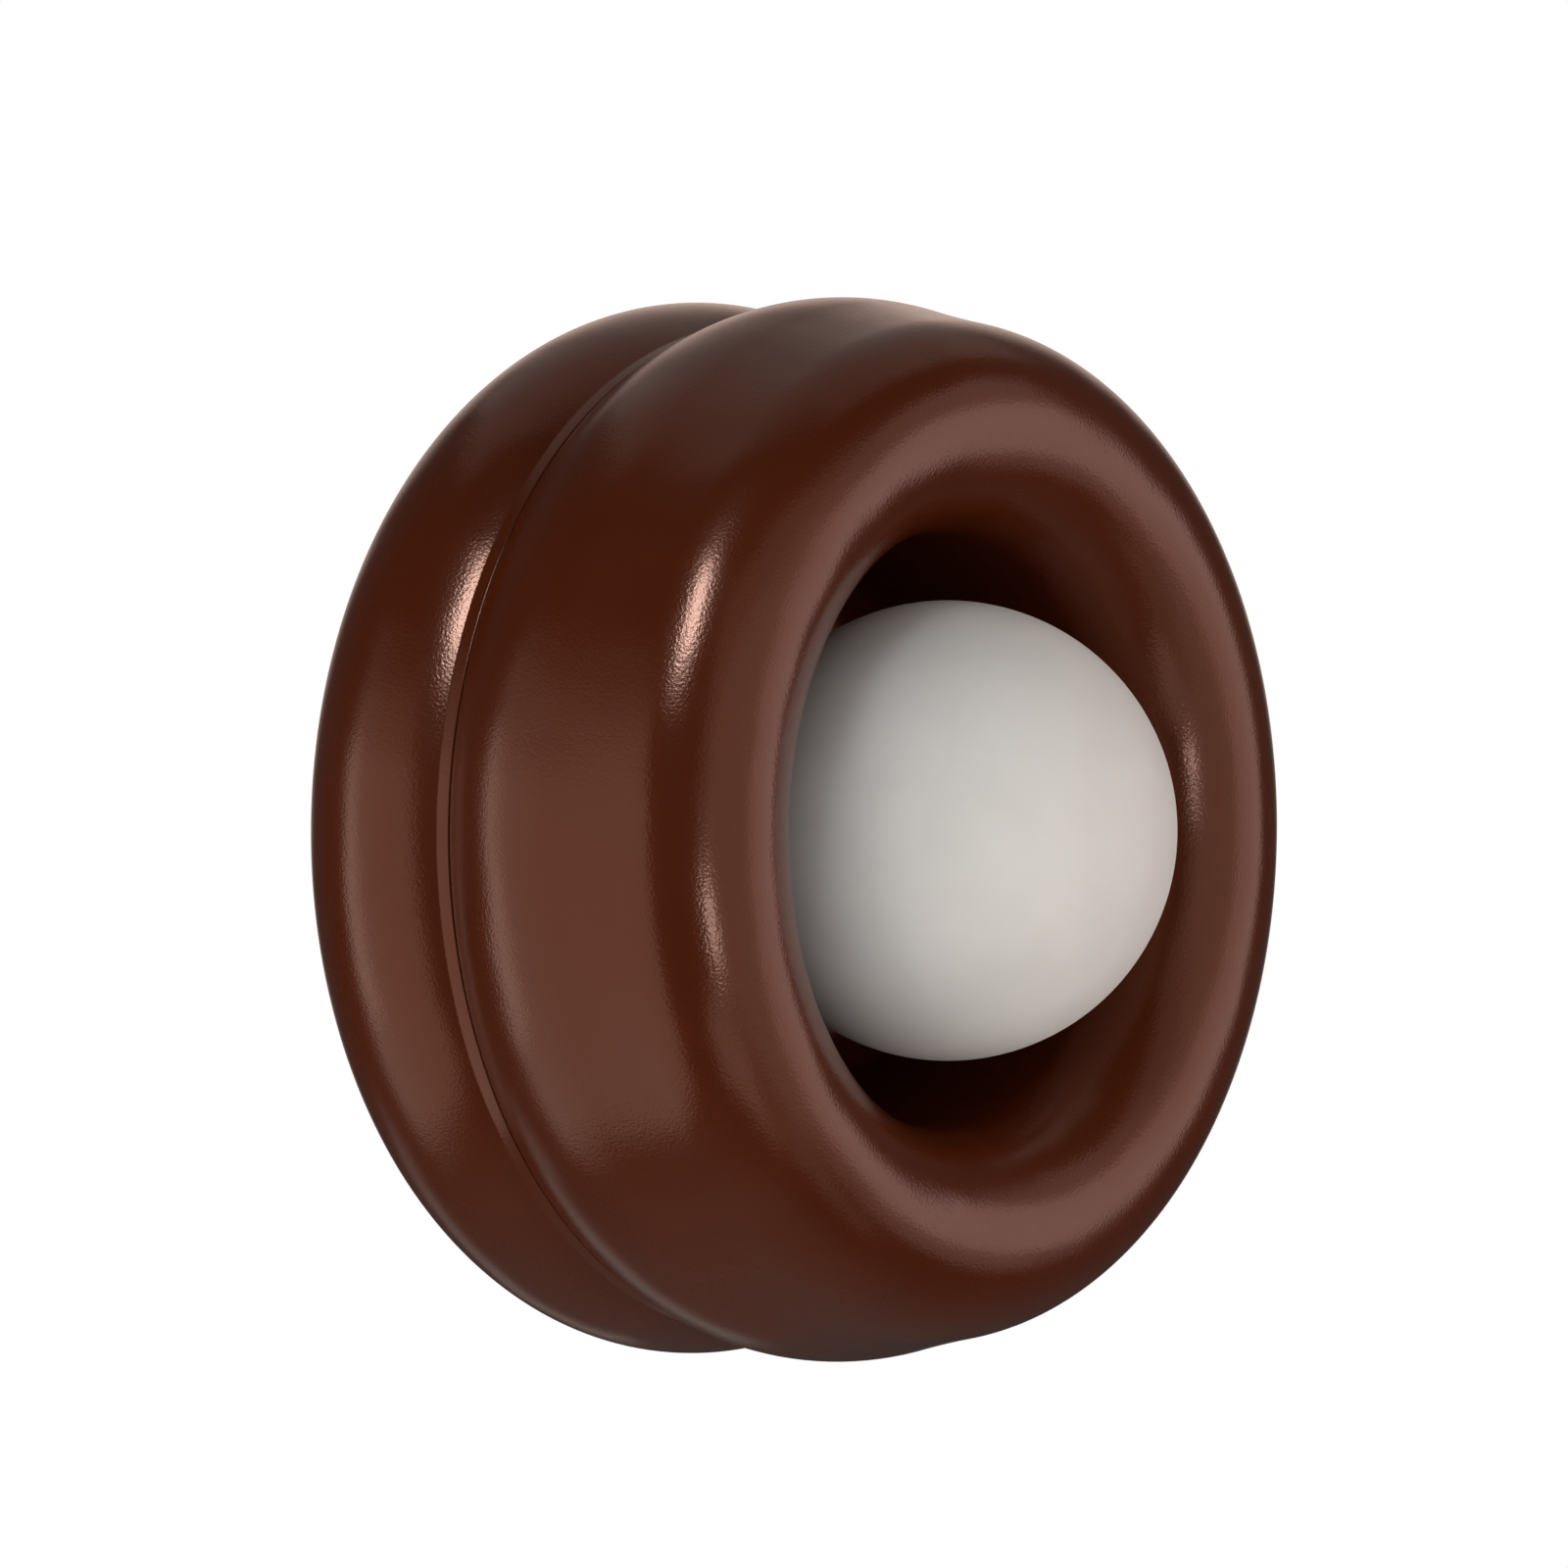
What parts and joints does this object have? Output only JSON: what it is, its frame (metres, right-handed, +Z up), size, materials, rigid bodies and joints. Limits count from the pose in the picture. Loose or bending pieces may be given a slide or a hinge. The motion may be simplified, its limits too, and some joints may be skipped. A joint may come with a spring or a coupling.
{
  "type": "wall light",
  "caption": "Round wall light: a spun, lacquered double-bulge housing with a rolled lip and a deep well, holding a screw-in opal glass globe over a capsule lamp.",
  "frame": {"origin": "centre of the back plate's rear face, on the wall plane and on the lamp axis", "axes": "-Y along the lamp axis out of the wall, +Y into the wall, +Z up the wall, +X to the right as seen from the room"},
  "size_m": [0.233, 0.1499, 0.233],
  "materials": {
    "lacquer": "brown satin gloss lacquer",
    "zinc": "zinc plated",
    "rubber": "matte black",
    "brass": "plain brass",
    "gallery_paint": "black paint",
    "ceramic": "unglazed white",
    "nylon": "white nylon",
    "brown_insulation": "brown insulation",
    "blue_insulation": "blue insulation",
    "green_insulation": "green and yellow insulation",
    "silicone": "milky silicone",
    "opal_glass": "satin opal glass",
    "frosted": "frosted capsule"
  },
  "bodies": {
    "housing": {"rear_shell": "lacquer", "front_shell": "lacquer", "seam_screw_1": "zinc", "seam_screw_2": "zinc", "seam_screw_3": "zinc", "seam_nut_1": "zinc", "seam_nut_2": "zinc", "seam_nut_3": "zinc", "back_plate": "zinc", "centring_hoop": "zinc", "cable_grommet": "rubber", "bridge_bracket": "zinc", "bridge_screw_upper": "zinc", "bridge_screw_lower": "zinc", "support_tube": "brass", "tube_nut_rear": "zinc", "tube_nut_front": "zinc", "lock_washer": "zinc", "gallery_cup": "gallery_paint", "clamp_washer": "zinc", "clamp_nut": "zinc", "holder_stirrup": "zinc", "lamp_holder": "ceramic", "holder_screw_left": "zinc", "holder_screw_right": "zinc", "terminal_block": "nylon", "pole_screw_1": "brass", "pole_screw_2": "brass", "pole_screw_3": "brass", "earth_tag": "brass", "earth_screw": "zinc", "wire_live": "brown_insulation", "wire_neutral": "blue_insulation", "wire_earth": "green_insulation"},
    "seal": {"seal_ring": "silicone"},
    "globe": {"globe": "opal_glass", "globe_collar": "zinc"},
    "lamp": {"lamp_base": "nylon", "lamp_capsule": "frosted", "lamp_pin_left": "zinc", "lamp_pin_right": "zinc"}
  },
  "joints": [
    {"name": "globe_travel", "type": "slide", "parent": "housing", "child": "seal", "axis": [0, -1, 0], "range_m": [0, 0.01]},
    {"name": "globe_turn", "type": "hinge", "parent": "seal", "child": "globe", "pos_m": [0, -0.0999, 0], "axis": [0, -1, 0], "range_deg": [0, 900]},
    {"name": "lamp_pull", "type": "slide", "parent": "housing", "child": "lamp", "axis": [0, -1, 0], "range_m": [0, 0.012]}
  ],
  "couplings": [
    {"joint": "globe_travel", "follows": "globe_turn", "m_per_rad": 0.0006366}
  ]
}
